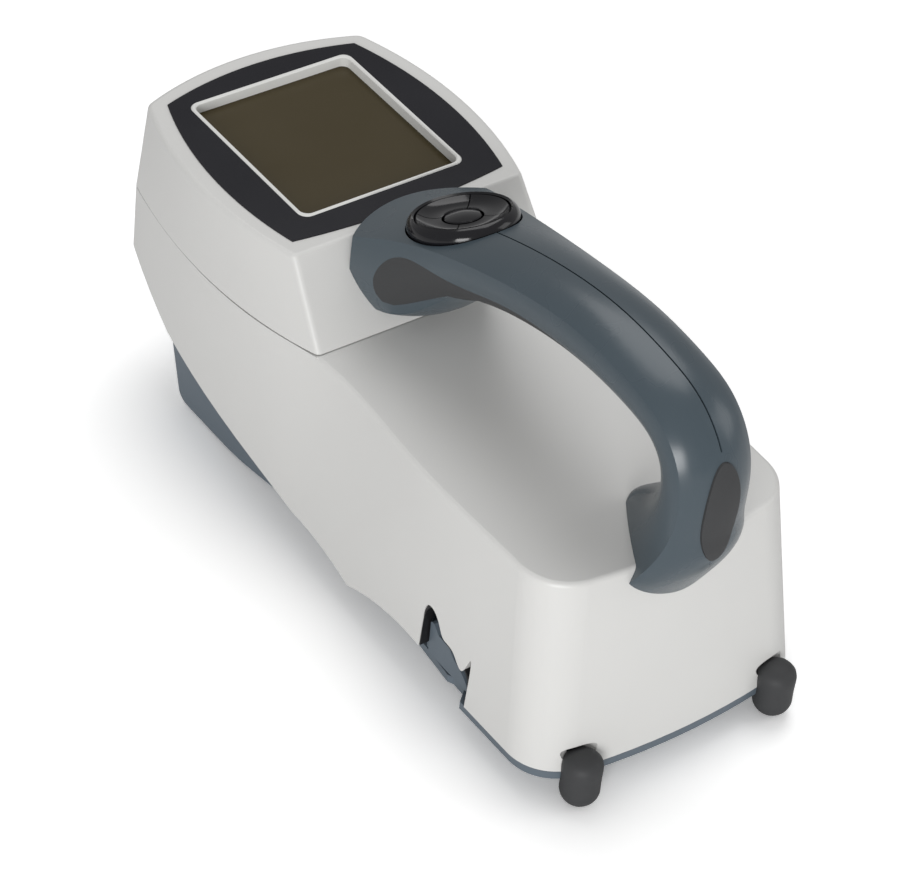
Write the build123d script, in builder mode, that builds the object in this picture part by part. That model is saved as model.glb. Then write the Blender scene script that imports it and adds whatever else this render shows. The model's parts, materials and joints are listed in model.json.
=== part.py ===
from build123d import *
import math
import os

os.makedirs("parts", exist_ok=True)

# A portable colorimeter: a white case with a raised display head at the rear,
# a measuring nose at the front and a carrying handle that bridges the deck.
# Frame: X to the right, Y toward the display head, Z up, floor at zero,
# origin under the middle of the instrument. All sizes are in millimetres.

# Case
wall = 2.5
case_bottom = 8.0
nose_half_width = 50.2
nose_front = -120.9
nose_rake = 10.0
nose_bow = 5.2
nose_corner = 16.0
deck_height = 74.0
deck_half_width = 45.0
deck_rounding = 1.5
deck_belly = 0.9
waist_half_width = 44.4
shoulder_half_width = 47.6
shoulder_y = 31.0
head_half_width = 50.0
head_middle = 67.0
rear_half_width = 43.7
rear_corner_y = 117.8
rear_end = 125.75
rear_corner = 4.0
side_run = 70.0

# Lower edge of the white case, seen from the side
nose_edge = 11.0
tip_y = -19.0
tip_z = 9.6
rise_start = 13.0
rise_z = 14.6
rear_edge_y = 88.0
rear_edge_z = 32.5
rear_edge_slope = 25.6
notch_rear = -56.2
notch_front = -80.5
notch_top = 33.2
notch_shoulder = 25.2

# Display head
head_top = 99.0
head_front_top = 31.3
head_front_lean = 36.5
head_top_front_half = 41.8
head_top_half = 48.4
head_top_rear_half = 39.8
head_low_front_half = 44.4
head_low_half = 50.3
head_low_rear_half = 44.4
head_skirt = 9.0
head_edge = 1.5
head_corner = 2.2
head_lip = 4.0
seam = 0.35
seam_middle = 71.0
seam_rear = 69.6

# Display
window_half = 30.0
window_front = 44.4
window_rear = 110.6
window_corner = 3.4
window_rim = 1.4
window_depth = 3.0
window_proud = 0.3
frame_flange = 4.0
bezel_thickness = 0.8
bezel_recess = 0.5
bezel_front_half = 38.6
bezel_front = 37.0
bezel_rear_half = 35.0
bezel_rear = 113.9
bezel_half = 42.7
bezel_bow = 5.6
bezel_front_bow = 2.9
lcd_thickness = 2.4
board = 1.6

# Handle
grip_skin = 2.2
handle_wall = 2.4
pod_bow = 9.4
pod_half = 24.4
pod_reach = 4.5
plug_half_width = 6.2
plug_top = 114.0
plug_bottom = 79.6
plug_proud = 0.7
plug_depth = 3.0
pod_hole_z = 88.0
pod_screw_x = 13.0
pod_screw_depth = 5.0
cable_width = 12.0
foot_screw_depth = 12.0
groove_half = 0.25
groove_depth = 0.5

# Navigation pad
pad_y = 5.6
pad_height = 0.469
pad_tilt = 20.0
pad_radius = 17.0
pad_gap = 0.5
pad_proud = 2.1
pad_sink = 7.6
key_outer = 14.3
key_inner = 6.4
enter_radius = 5.6
key_gap = 0.35

# Base
base_inset = 0.6
base_half_width = nose_half_width - 6.2
slab_bottom = 7.5
slab_edge = 0.8
base_floor = 0.5
bulge_start = 30.0
bulge_flat = 78.5
bulge_wall_y = 90.7
bulge_wall_z = 5.6
bulge_lean = 15.5
bulge_corner = 4.0
base_top_rear = 41.0

# Port and release tabs
port_y = -80.0
port_bore = 25.4
port_ring = 38.0
port_neck = 34.0
port_plate_width = 2 * (nose_half_width - 10.2)
port_plate_length = 58.0
port_plate_thickness = 2.4
port_clearance = 0.6
tab_thickness = 2.6
tab_face_x = nose_half_width - 3.3
tab_pivot_x = nose_half_width - 7.2
tab_pivot_z = 15.0
tab_pin = 2.4

# Feet
foot_radius = 6.1
foot_height = 18.0
foot_shadow = 0.9
foot_x = nose_half_width - 14.2
pad_length = 9.0
pad_width = 26.0
rubber_pad = 1.5
tray_bottom = 8.6

# Batteries and their door
cell_diameter = 14.5
cell_length = 50.5
cell_pitch = 15.2
cell_count = 4
cell_z = 18.3
door_half_width = 37.0
door_height = 24.0
door_thickness = 2.4
door_pin = 1.6
scoop_width = 16.0
scoop_height = 4.0
scoop_depth = 1.2

# Sockets in the rear wall
recess_half_width = 23.3
recess_bottom = 52.1
recess_top = 67.1
socket_z = 60.6
socket_back = 110.0
usb_x = -10.0
usb_width = 9.2
usb_height = 4.2
jack_x = 10.0
jack_radius = 4.2

# Inside
post_radius = 3.6
screw_radius = 1.5
screw_head = 2.8
small_screw = 1.2
board_screw_length = 7.0
front_post_y = -97.0
middle_post_y = -26.0
post_x = foot_x
optics_radius = 27.0

# Fits
running = 0.3
shaft_fit = 0.05
boards_z = 61.0


def finish_part(builder, name):
    """Name a finished piece and write it to its own file."""
    builder.part.label = name
    export_step(builder.part, f"parts/{name}.step")


# Outlines of the case
rake_run = (deck_height - case_bottom) * math.tan(math.radians(nose_rake))
waist_y = head_front_top - (head_top - deck_height) * math.tan(math.radians(head_front_lean))


def case_plan(height, front_half, front_y, belly, waist, shoulder, middle_half, rear_half, inset):
    """Plan outline of the case at one height, drawn in all round by inset."""
    front = front_y + inset
    half = front_half - inset
    rear_half_here = rear_half - inset
    corner_y = rear_corner_y - inset
    with BuildSketch(Plane.XY.offset(height)) as plan:
        with BuildLine():
            ThreePointArc((-half, front + nose_bow), (0, front), (half, front + nose_bow))
            side = Spline((half, front + nose_bow), (half + belly, front + side_run),
                          (waist - inset, waist_y), (shoulder - inset, shoulder_y),
                          (middle_half - inset, head_middle), (rear_half_here, corner_y),
                          tangents=((0, 1), (-0.23, 1)))
            mirror(side, about=Plane.YZ)
            ThreePointArc((rear_half_here, corner_y), (0, rear_end - inset), (-rear_half_here, corner_y))
        make_face()
        fillet(plan.vertices().sort_by(Axis.Y)[:2], radius=nose_corner - inset)
        fillet(plan.vertices().sort_by(Axis.Y)[-2:], radius=max(rear_corner - inset, 1))
    return plan.sketch


def low_plan(height, inset):
    """Plan outline of the case near the floor."""
    return case_plan(height, nose_half_width, nose_front, 0.3, nose_half_width + 0.1,
                     nose_half_width + 0.3, nose_half_width + 0.4, rear_half_width + 1.6, inset)


def case_outlines(inset, lowered):
    """Outlines at the bottom and at the deck, the upper one lowered by the roof."""
    high = case_plan(deck_height - lowered, deck_half_width, nose_front + rake_run, deck_belly,
                     waist_half_width, shoulder_half_width, head_half_width, rear_half_width, inset)
    return [low_plan(case_bottom, inset), high]


def front_face_y(z):
    """Y of the display head's leaning front face at a height."""
    return head_front_top - (head_top - z) * math.tan(math.radians(head_front_lean))


def head_plan(height, front_half, half, rear_half, inset):
    """Plan outline of the display head at one height."""
    front = front_face_y(height) + inset
    hf = front_half - inset
    hr = rear_half - inset
    corner_y = rear_corner_y - inset
    with BuildSketch(Plane.XY.offset(height)) as plan:
        with BuildLine():
            Line((-hf, front), (hf, front))
            side = ThreePointArc((hf, front), (half - inset, head_middle), (hr, corner_y))
            mirror(side, about=Plane.YZ)
            ThreePointArc((hr, corner_y), (0, rear_end - inset), (-hr, corner_y))
        make_face()
        fillet(plan.vertices().sort_by(Axis.Y)[:2], radius=max(head_corner - inset, 0.6))
        fillet(plan.vertices().sort_by(Axis.Y)[-2:], radius=max(rear_corner - inset, 1))
    return plan.sketch


head_bottom = deck_height - head_skirt


def head_outlines(inset, lowered):
    low = head_plan(head_bottom, head_low_front_half, head_low_half, head_low_rear_half, inset)
    high = head_plan(head_top - lowered, head_top_front_half, head_top_half, head_top_rear_half, inset)
    return [low, high]


# Solid forms that several pieces are cut from
with BuildPart() as case_block:
    loft(case_outlines(0, 0), ruled=True)
    fillet(case_block.faces().sort_by(Axis.Z)[-1].edges(), radius=deck_rounding)

# The deck's rounded edge ends at the display head, whose sides run on flush into the case
with BuildPart() as square_rear:
    loft(case_outlines(0, 0), ruled=True)
    with BuildSketch(Plane.XY):
        with Locations((0, waist_y + 100)):
            Rectangle(200, 200)
    extrude(amount=100, mode=Mode.INTERSECT)

with BuildPart() as whole_case:
    add(case_block.part)
    add(square_rear.part)

with BuildPart() as head_block:
    loft(head_outlines(0, 0), ruled=True)
    fillet(head_block.faces().sort_by(Axis.Z)[-1].edges(), radius=head_edge)

seam_front_y = waist_y
far = 200.0


def head_zone(gap):
    """Side view region above the seam and behind the head's front face."""
    with BuildSketch(Plane.YZ) as zone:
        with BuildLine():
            ThreePointArc((seam_front_y, deck_height + gap), (head_middle - 20, seam_middle + gap),
                          (rear_end + 5, seam_rear + gap))
            Line((rear_end + 5, seam_rear + gap), (rear_end + 5, far))
            Line((rear_end + 5, far), (front_face_y(far), far))
            Line((front_face_y(far), far), (seam_front_y, deck_height + gap))
        make_face()
    return zone.sketch


def rear_edge(y):
    """Height of the white case's lower edge behind the bulge."""
    return rear_edge_z + (y - rear_edge_y) * math.tan(math.radians(rear_edge_slope))


rear_floor_start = bulge_wall_y + 10.8
edge_end = rear_end + 6

shelf_z = seam_rear - 13
shelf_thickness = 2.5
shelf_half_width = 34.0
shelf_front = 24.0
shelf_rear = 106.0
socket_pad_depth = 4.0
socket_face_y = rear_end - 6.5
slab_top = nose_edge - 0.2
corners = [(side * post_x, y) for side in (-1, 1) for y in (front_post_y, middle_post_y)]

head_posts = [(side * (shelf_half_width + 4.2), y) for side in (-1, 1) for y in (38.0, 100.0)]
board_posts = [(side * 27.0, y) for side in (-1, 1) for y in (-93.0, 4.0)]
handle_foot_screws = [(side * 6.0, -100.0) for side in (-1, 1)]

# Space inside the case, less the posts, the shelf and the pad that stand in it
with BuildPart() as case_cavity:
    loft(case_outlines(wall, wall), ruled=True)
    with BuildSketch(Plane.YZ) as rear_floor:
        with BuildLine():
            Polyline([(rear_floor_start, 0), (edge_end, 0), (edge_end, rear_edge(edge_end) + wall),
                      (rear_floor_start, rear_edge(rear_floor_start) + wall)], close=True)
        make_face()
    extrude(amount=far, both=True, mode=Mode.SUBTRACT)
    with BuildSketch(Plane.XY.offset(slab_top)):
        with Locations(*corners):
            Circle(post_radius)
    extrude(amount=deck_height, mode=Mode.SUBTRACT)
    with BuildSketch(Plane.XY.offset(shelf_z)):
        with Locations((0, rear_end / 2 + seam_front_y)):
            Rectangle(4 * nose_half_width, rear_end)
        with Locations((0, (shelf_front + shelf_rear) / 2)):
            Rectangle(2 * shelf_half_width, shelf_rear - shelf_front, mode=Mode.SUBTRACT)
    extrude(amount=shelf_thickness, mode=Mode.SUBTRACT)
    with BuildSketch(Plane.XY.offset(recess_bottom - 3)):
        with Locations((0, socket_face_y + 10 - socket_pad_depth)):
            Rectangle(2 * recess_half_width + 8, 20)
    extrude(amount=recess_top - recess_bottom + 5, mode=Mode.SUBTRACT)

with BuildPart() as head_cavity:
    loft(head_outlines(wall, wall), ruled=True)

# Handle: right half of one section, drawn on a plane across the grip.
# Depths run inward from the crown.


def arc_middle(half_width, rise):
    """Middle of the half arc that starts level at its top and ends at (half_width, -rise)."""
    radius = (half_width ** 2 + rise ** 2) / (2 * rise)
    half_angle = math.asin(half_width / radius) / 2
    return radius * math.sin(half_angle), radius * (1 - math.cos(half_angle))


def handle_section(y, z, pitch, crease, drop, side, side_depth, low, low_depth, depth, inset):
    angle = math.radians(pitch)
    plane = Plane(origin=(0, y, z), x_dir=(1, 0, 0), z_dir=(0, -math.cos(angle), math.sin(angle)))
    shrink = (depth - 2 * inset) / depth
    c = crease - inset
    w = max(low - inset, 0.8)
    crease_depth = -inset - drop * shrink
    corner_depth = -inset - low_depth * shrink
    inner_depth = inset - depth
    crown_x, crown_fall = arc_middle(c, drop * shrink)
    keel_x, keel_fall = arc_middle(w, (depth - low_depth) * shrink)
    with BuildSketch(plane) as section:
        with BuildLine():
            ThreePointArc((0, -inset), (crown_x, -inset - crown_fall), (c, crease_depth))
            ThreePointArc((c, crease_depth), (side - inset, -inset - side_depth * shrink),
                          (w, corner_depth))
            ThreePointArc((w, corner_depth), (keel_x, inner_depth + keel_fall), (0, inner_depth))
            Line((0, inner_depth), (0, -inset))
        make_face()
    return section.sketch


nose_face = nose_front
crown_height = 132.9
crown_rise = crown_height - head_top

# Each row: y and z of the crown, pitch of the run there, half width at the crease and its
# depth, half width and depth of the side's middle and of the lower corner, whole depth
handle_stations = [
    (head_front_top + 7.2, head_top + 0.077 * crown_rise, 34.5, 24.6, 3.4, 24.6, 17.0, 21.5, 29.0, 33.5),
    (head_front_top - 4.3, head_top + 0.2 * crown_rise, 30.0, 24.2, 2.8, 24.2, 15.0, 19.5, 28.5, 33.0),
    (head_front_top - 15.8, head_top + 0.336 * crown_rise, 26.0, 21.4, 2.0, 21.6, 13.0, 16.0, 26.5, 30.5),
    (head_front_top - 29.3, head_top + 0.49 * crown_rise, 22.0, 18.6, 2.0, 18.7, 11.0, 11.8, 20.8, 24.4),
    (head_front_top - 47.3, head_top + 0.684 * crown_rise, 18.0, 16.3, 3.1, 16.2, 10.0, 9.5, 18.0, 20.8),
    (nose_face + 78.2, crown_height - 3.4, 10.5, 14.1, 4.2, 14.4, 10.0, 9.0, 17.4, 19.6),
    (nose_face + 49.9, crown_height, 1.0, 13.2, 4.4, 14.0, 9.8, 9.0, 16.8, 18.9),
    (nose_face + 28.9, crown_height - 1.6, -13.0, 13.0, 4.3, 13.8, 9.6, 9.0, 16.2, 18.3),
    (nose_face + 12.4, crown_height - 6.9, -34.0, 12.8, 4.2, 13.6, 9.4, 9.0, 16.0, 18.0),
    (nose_face + 2.4, deck_height + 41.0, -62.0, 12.6, 4.2, 13.5, 9.4, 9.0, 15.9, 17.9),
    (nose_face - 0.9, deck_height + 27.0, -84.0, 12.6, 4.2, 13.6, 9.8, 8.0, 17.0, 19.2),
    (nose_face - 0.5, deck_height + 14.0, -90.0, 13.8, 5.0, 12.6, 14.5, 5.0, 24.0, 26.5),
    (nose_face + 1.7, deck_height, -90.0, 18.2, 7.4, 11.5, 20.0, 3.0, 33.5, 35.2),
    (nose_face + 8.7, deck_height - 14.0, -90.0, 10.0, 5.0, 8.0, 14.0, 3.0, 24.0, 27.0),
]

with BuildPart() as handle_form:
    loft([handle_section(*station, 0) for station in handle_stations])

with BuildPart() as handle_core:
    loft([handle_section(*station, grip_skin) for station in handle_stations])

with BuildPart() as handle_hollow:
    loft([handle_section(*station, grip_skin + handle_wall) for station in handle_stations[1:-2]])

with BuildPart() as pod_plan:
    with BuildSketch(Plane.XY.offset(deck_height - 30)) as trim:
        with BuildLine():
            rear_line = head_front_top + pod_reach
            ThreePointArc((-pod_half - 3, rear_line - pod_bow - 3), (0, rear_line),
                          (pod_half + 3, rear_line - pod_bow - 3))
            Polyline((pod_half + 3, rear_line - pod_bow - 3), (pod_half + 3, nose_front - 20),
                     (-pod_half - 3, nose_front - 20), (-pod_half - 3, rear_line - pod_bow - 3))
        make_face()
    extrude(amount=far)

# Navigation pad axis
pad_plane = Plane(origin=(0, pad_y, head_top + pad_height * crown_rise), x_dir=(1, 0, 0),
                  z_dir=(0, math.sin(math.radians(pad_tilt)), math.cos(math.radians(pad_tilt))))

with BuildPart() as bezel_block:
    with BuildSketch(Plane.XY.offset(head_top - bezel_recess)):
        with BuildLine():
            ThreePointArc((-bezel_front_half, bezel_front), (0, bezel_front - bezel_front_bow),
                          (bezel_front_half, bezel_front))
            edge = ThreePointArc((bezel_front_half, bezel_front), (bezel_half, head_middle + 3.7),
                                 (bezel_rear_half, bezel_rear))
            mirror(edge, about=Plane.YZ)
            ThreePointArc((bezel_rear_half, bezel_rear), (0, bezel_rear + bezel_bow),
                          (-bezel_rear_half, bezel_rear))
        make_face()
    extrude(amount=bezel_thickness)

window_length = window_rear - window_front
window_middle = (window_rear + window_front) / 2

# Grip rubber: the part of the handle's skin that lies inside this side view region
grip_points = [
    (head_front_top - 16.1, head_top - 11.0),
    (head_front_top - 15.2, head_top - 6.0),
    (head_front_top - 17.2, head_top + 0.5),
    (head_front_top - 20.0, head_top + 4.6),
    (head_front_top - 25.0, head_top + 8.2),
    (head_front_top - 31.0, head_top + 9.6),
    (head_front_top - 43.0, head_top + 10.4),
    (head_front_top - 53.5, head_top + 0.37 * crown_rise),
    (nose_face + 89.5, crown_height - 18.6),
    (nose_face + 78.0, crown_height - 16.0),
    (nose_face + 50.0, crown_height - 13.6),
    (nose_face + 36.0, crown_height - 14.2),
    (nose_face + 22.5, crown_height - 20.2),
]
grip_lower = [
    (nose_face + 26.0, crown_height - 25.0),
    (nose_face + 60.0, crown_height - 24.0),
    (head_front_top - 50.0, head_top - 4.0),
    (head_front_top - 38.8, head_top + 0.5),
    (head_front_top - 32.8, head_top - 4.3),
    (head_front_top - 26.0, head_top - 9.6),
    (head_front_top - 21.8, head_top - 12.4),
    (head_front_top - 18.0, head_top - 13.0),
]

with BuildPart() as grip_zone:
    with BuildSketch(Plane.YZ):
        with BuildLine():
            upper = Spline(*grip_points)
            Polyline(grip_points[-1], *grip_lower, grip_points[0])
        make_face()
    extrude(amount=pod_half + 5, both=True)

# Base profile, seen from the side
wall_run = (base_top_rear - bulge_wall_z) * math.tan(math.radians(bulge_lean))
bulge_top_y = bulge_wall_y + wall_run


def base_profile(inset, rise):
    """Side view of the tray and its rear bulge, drawn in below and at the ends, raised on top."""
    lean = inset / math.cos(math.radians(bulge_lean))
    top_y = bulge_top_y - lean + rise * math.tan(math.radians(bulge_lean))
    with BuildSketch(Plane.YZ) as profile:
        with BuildLine():
            Line((tip_y + inset, 20 + rise), (tip_y + inset, slab_bottom + inset))
            Line((tip_y + inset, slab_bottom + inset), (bulge_start, slab_bottom + inset))
            ThreePointArc((bulge_start, slab_bottom + inset), (bulge_start + 24, 3.5 + inset),
                          (bulge_flat, base_floor + inset))
            Line((bulge_flat, base_floor + inset), (bulge_flat + 5, base_floor + inset))
            ThreePointArc((bulge_flat + 5, base_floor + inset),
                          (bulge_wall_y - 2.6 - inset * 0.7, 1.9 + inset * 0.8),
                          (bulge_wall_y - lean, bulge_wall_z + 1 * (inset > 0)))
            Line((bulge_wall_y - lean, bulge_wall_z + 1 * (inset > 0)), (top_y, base_top_rear + rise))
            Line((top_y, base_top_rear + rise), (bulge_start + 30, 31 + rise))
            Line((bulge_start + 30, 31 + rise), (tip_y + inset, 20 + rise))
        make_face()
    return profile.sketch


with BuildPart() as tray_block:
    extrude(base_profile(0, 0), amount=base_half_width, both=True)
    fillet(tray_block.edges().filter_by(GeomType.LINE).filter_by(Axis.X, reverse=True).group_by(Axis.Y)[-1],
           radius=bulge_corner)

with BuildPart() as tray_cavity:
    extrude(base_profile(wall, wall), amount=base_half_width - wall, both=True)

# Axes of the door, in the plane of the leaning rear wall
lean_angle = math.radians(bulge_lean)
door_plane = Plane(origin=(0, bulge_wall_y, bulge_wall_z), x_dir=(1, 0, 0),
                   z_dir=(0, -math.cos(lean_angle), math.sin(lean_angle)))


# Bumper feet at the nose's lower corners
foot_y = -rear_end + foot_radius
foot_places = [(side * foot_x, foot_y) for side in (-1, 1)]


def foot_profile(margin, top):
    """Half outline of a bumper foot with its tip at top, grown by margin, on the XZ plane."""
    with BuildSketch(Plane.XZ) as profile:
        with BuildLine():
            Line((0, -margin), (2.2 + margin, -margin))
            Spline((2.2 + margin, -margin), (5.4 + margin, 2.6), (foot_radius + margin, 5.5),
                   (4.5 + margin, 9.6), (4.3 + margin, 13.0), (0, top),
                   tangents=((1, 0.3), (-1, 0)))
            Line((0, top), (0, -margin))
        make_face()
    return profile.sketch


with BuildPart() as foot_form:
    revolve(foot_profile(0, foot_height), axis=Axis.Z)

with BuildPart() as foot_pocket:
    revolve(foot_profile(running, foot_height + foot_shadow), axis=Axis.Z)

with BuildPart() as foot_seat:
    revolve(foot_profile(shaft_fit, foot_height + foot_shadow), axis=Axis.Z)


# White case
with BuildPart() as main_shell:
    add(whole_case.part)
    add(case_cavity.part, mode=Mode.SUBTRACT)
    extrude(head_zone(0), amount=far, both=True, mode=Mode.SUBTRACT)
    with BuildSketch(Plane.YZ) as below_edge:
        with BuildLine():
            Polyline((edge_end, rear_edge(edge_end)), (edge_end, 0), (nose_front - 10, 0),
                     (nose_front - 10, nose_edge), (notch_rear, nose_edge), (notch_rear, 15.6))
            ThreePointArc((notch_rear, 15.6), ((notch_rear + tip_y) / 2, 14.9), (tip_y, tip_z))
            ThreePointArc((tip_y, tip_z), ((tip_y + rise_start) / 2, 13.2), (rise_start, rise_z))
            ThreePointArc((rise_start, rise_z), ((rise_start + rear_edge_y) / 2, 22.6),
                          (rear_edge_y, rear_edge_z))
            Line((rear_edge_y, rear_edge_z), (edge_end, rear_edge(edge_end)))
        make_face()
    extrude(amount=far, both=True, mode=Mode.SUBTRACT)
    with BuildSketch(Plane.YZ) as notch:
        with BuildLine():
            Line((notch_rear, 0), (notch_rear, notch_top - 4.8))
            Spline((notch_rear, notch_top - 4.8), (notch_rear - 3.1, notch_top),
                   (notch_rear - 7.2, notch_top - 2.8), (notch_rear - 10.2, notch_shoulder + 1.4),
                   (notch_rear - 15.8, notch_shoulder), (notch_front + 2.9, notch_shoulder - 1.9),
                   (notch_front, notch_shoulder - 6.7), tangents=((0, 1), (0, -1)))
            Polyline((notch_front, notch_shoulder - 6.7), (notch_front, 0), (notch_rear, 0))
        make_face()
    extrude(amount=far, both=True, mode=Mode.SUBTRACT)
    with BuildSketch(Plane.XY.offset(slab_top)):
        with Locations(*corners):
            Circle(screw_radius)
    extrude(amount=14, mode=Mode.SUBTRACT)
    with Locations(*foot_places):
        add(foot_pocket.part, mode=Mode.SUBTRACT)
    with BuildSketch(Plane.XY.offset(recess_bottom)):
        with Locations((0, socket_face_y + 10)):
            Rectangle(2 * recess_half_width, 20)
    extrude(amount=recess_top - recess_bottom, mode=Mode.SUBTRACT)
    with BuildSketch(Plane.XZ.offset(-rear_end)):
        with Locations((usb_x, socket_z)):
            Rectangle(usb_width, usb_height)
        with Locations((jack_x, socket_z)):
            Circle(jack_radius)
    extrude(amount=rear_end - socket_back, mode=Mode.SUBTRACT)
    with BuildSketch(Plane.XY.offset(boards_z + board)):
        with Locations(*board_posts):
            Circle(3)
    extrude(amount=deck_height - wall / 2 - boards_z - board)
    with BuildSketch(Plane.XY.offset(boards_z)):
        with Locations(*board_posts):
            Circle(small_screw)
    extrude(amount=board_screw_length, mode=Mode.SUBTRACT)
    with BuildSketch(Plane.XY.offset(deck_height - 2 * wall)):
        with Locations(*handle_foot_screws):
            Circle(screw_radius)
    extrude(amount=3 * wall, mode=Mode.SUBTRACT)
    with BuildSketch(Plane.XY.offset(shelf_z - 1)):
        with Locations(*head_posts):
            Circle(screw_radius)
    extrude(amount=shelf_thickness + 2, mode=Mode.SUBTRACT)
    with BuildSketch(Plane.XY.offset(deck_height - wall - 1)):
        with Locations((0, (shelf_front + shelf_rear) / 2)):
            Rectangle(2 * (waist_half_width - wall + 0.6), shelf_rear - shelf_front)
    extrude(amount=2 * wall, mode=Mode.SUBTRACT)
finish_part(main_shell, "main_shell")

# Cover of the display head, with a lip that plugs into the case
lip_thickness = 1.8
collar_height = 3.0
lip_front = seam_front_y + 31.0

with BuildPart() as lip_ring:
    loft(case_outlines(wall + running, 0), ruled=True)
    loft(case_outlines(wall + running + lip_thickness, -1), ruled=True, mode=Mode.SUBTRACT)
    extrude(head_zone(-head_lip), amount=far, both=True, mode=Mode.INTERSECT)
    with BuildSketch(Plane.XY) as lip_trim:
        with Locations((0, lip_front - far / 2)):
            Rectangle(far, far)
        with Locations((0, rear_end)):
            Rectangle(2 * recess_half_width + 10, 40)
    extrude(amount=far, mode=Mode.SUBTRACT)

with BuildPart() as head_hollow:
    add(head_cavity.part)
    extrude(head_zone(seam), amount=far, both=True, mode=Mode.INTERSECT)
    with BuildSketch(Plane.XY.offset(shelf_z)):
        with Locations(*head_posts):
            Circle(post_radius)
    extrude(amount=far, mode=Mode.SUBTRACT)

with BuildPart() as collar:
    add(head_cavity.part)
    loft(head_outlines(wall + 3.4, wall), ruled=True, mode=Mode.SUBTRACT)
    extrude(head_zone(seam), amount=far, both=True, mode=Mode.INTERSECT)
    extrude(head_zone(seam + collar_height), amount=far, both=True, mode=Mode.SUBTRACT)

# Cable slot and screw holes through the head's front wall into the handle
front_wall = Plane(origin=(0, front_face_y(pod_hole_z), pod_hole_z), x_dir=(1, 0, 0),
                   z_dir=(0, -math.cos(math.radians(head_front_lean)),
                          math.sin(math.radians(head_front_lean))))
with BuildPart() as front_wall_holes:
    with BuildSketch(front_wall.offset(-2 * wall)):
        Rectangle(cable_width + 2, 3)
    extrude(amount=14)
    with BuildSketch(front_wall.offset(-2 * wall)):
        with Locations((-pod_screw_x, 0), (pod_screw_x, 0)):
            Circle(small_screw)
    extrude(amount=2 * wall + pod_screw_depth)

with BuildPart() as head_cover:
    add(head_block.part)
    extrude(head_zone(seam), amount=far, both=True, mode=Mode.INTERSECT)
    add(head_hollow.part, mode=Mode.SUBTRACT)
    add(collar.part)
    add(lip_ring.part)
    with BuildSketch(Plane.XY.offset(shelf_z + shelf_thickness)):
        with Locations(*head_posts):
            Circle(post_radius)
    extrude(amount=head_top - wall - shelf_z - shelf_thickness)
    with BuildSketch(Plane.XY.offset(shelf_z + shelf_thickness)):
        with Locations(*head_posts):
            Circle(screw_radius)
    extrude(amount=12, mode=Mode.SUBTRACT)
    with BuildSketch(Plane.XY.offset(head_top - wall - 1)):
        with Locations((0, window_middle)):
            RectangleRounded(2 * window_half, window_length, window_corner)
    extrude(amount=far, mode=Mode.SUBTRACT)
    add(bezel_block.part, mode=Mode.SUBTRACT)
    add(front_wall_holes.part, mode=Mode.SUBTRACT)
finish_part(head_cover, "head_cover")

with BuildPart() as display_bezel:
    add(bezel_block.part)
    with BuildSketch(Plane.XY.offset(head_top - wall)):
        with Locations((0, window_middle)):
            RectangleRounded(2 * window_half, window_length, window_corner)
    extrude(amount=far, mode=Mode.SUBTRACT)
finish_part(display_bezel, "display_bezel")

# White display frame: rim flush with the bezel, recess walls, flange under the cover
recess_floor = head_top - window_depth
flange_top = head_top - wall
with BuildPart() as window_frame:
    with BuildSketch(Plane.XY.offset(recess_floor)):
        with Locations((0, window_middle)):
            RectangleRounded(2 * window_half, window_length, window_corner)
            RectangleRounded(2 * (window_half - window_rim), window_length - 2 * window_rim,
                             window_corner - window_rim + 0.8, mode=Mode.SUBTRACT)
    extrude(amount=window_depth + bezel_thickness - bezel_recess + window_proud)
    with BuildSketch(Plane.XY.offset(recess_floor - lcd_thickness)):
        with Locations((0, window_middle)):
            Rectangle(2 * (window_half + frame_flange), window_length + 2 * frame_flange)
            Rectangle(2 * window_half - 1, window_length - 1, mode=Mode.SUBTRACT)
    extrude(amount=flange_top - recess_floor + lcd_thickness)
    chamfer(window_frame.faces().sort_by(Axis.Z)[-1].edges(), length=0.4)
finish_part(window_frame, "window_frame")

with BuildPart() as lcd_panel:
    with BuildSketch(Plane.XY.offset(recess_floor - lcd_thickness)):
        with Locations((0, window_middle)):
            Rectangle(2 * window_half - 1 - running, window_length - 1 - running)
    extrude(amount=lcd_thickness)
finish_part(lcd_panel, "lcd_panel")

with BuildPart() as lcd_board:
    with BuildSketch(Plane.XY.offset(recess_floor - lcd_thickness - board)):
        with Locations((0, window_middle)):
            Rectangle(2 * (window_half + frame_flange), window_length + 2 * frame_flange)
    extrude(amount=board)
    with BuildSketch(Plane.XY.offset(recess_floor - lcd_thickness - board - 3)):
        with Locations((-12, window_middle - 10), (14, window_middle + 8)):
            Rectangle(12, 12)
        with Locations((0, window_middle + 26)):
            Rectangle(22, 5)
    extrude(amount=3)
finish_part(lcd_board, "lcd_board")

# Handle: the right half is cut out, and the left one mirrors it
plug_middle = (plug_top + plug_bottom) / 2
plug_back = nose_front + plug_depth

with BuildPart() as half_grip:
    add(handle_form.part)
    add(handle_core.part, mode=Mode.SUBTRACT)
    add(grip_zone.part, mode=Mode.INTERSECT)
    add(whole_case.part, mode=Mode.SUBTRACT)
    add(head_block.part, mode=Mode.SUBTRACT)

with BuildPart() as grip_insert:
    add(half_grip.part)
    mirror(half_grip.part, about=Plane.YZ)
finish_part(grip_insert, "grip_insert")

# Fine groove along the crown, where the two halves meet
with BuildPart() as crown_groove:
    add(handle_form.part)
    loft([handle_section(*station, groove_depth) for station in handle_stations], mode=Mode.SUBTRACT)
    with BuildSketch(Plane.XY.offset(crown_height - 16.3)):
        with Locations((0, nose_front + 56)):
            Rectangle(2 * groove_half, 120)
    extrude(amount=30, mode=Mode.INTERSECT)

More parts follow.
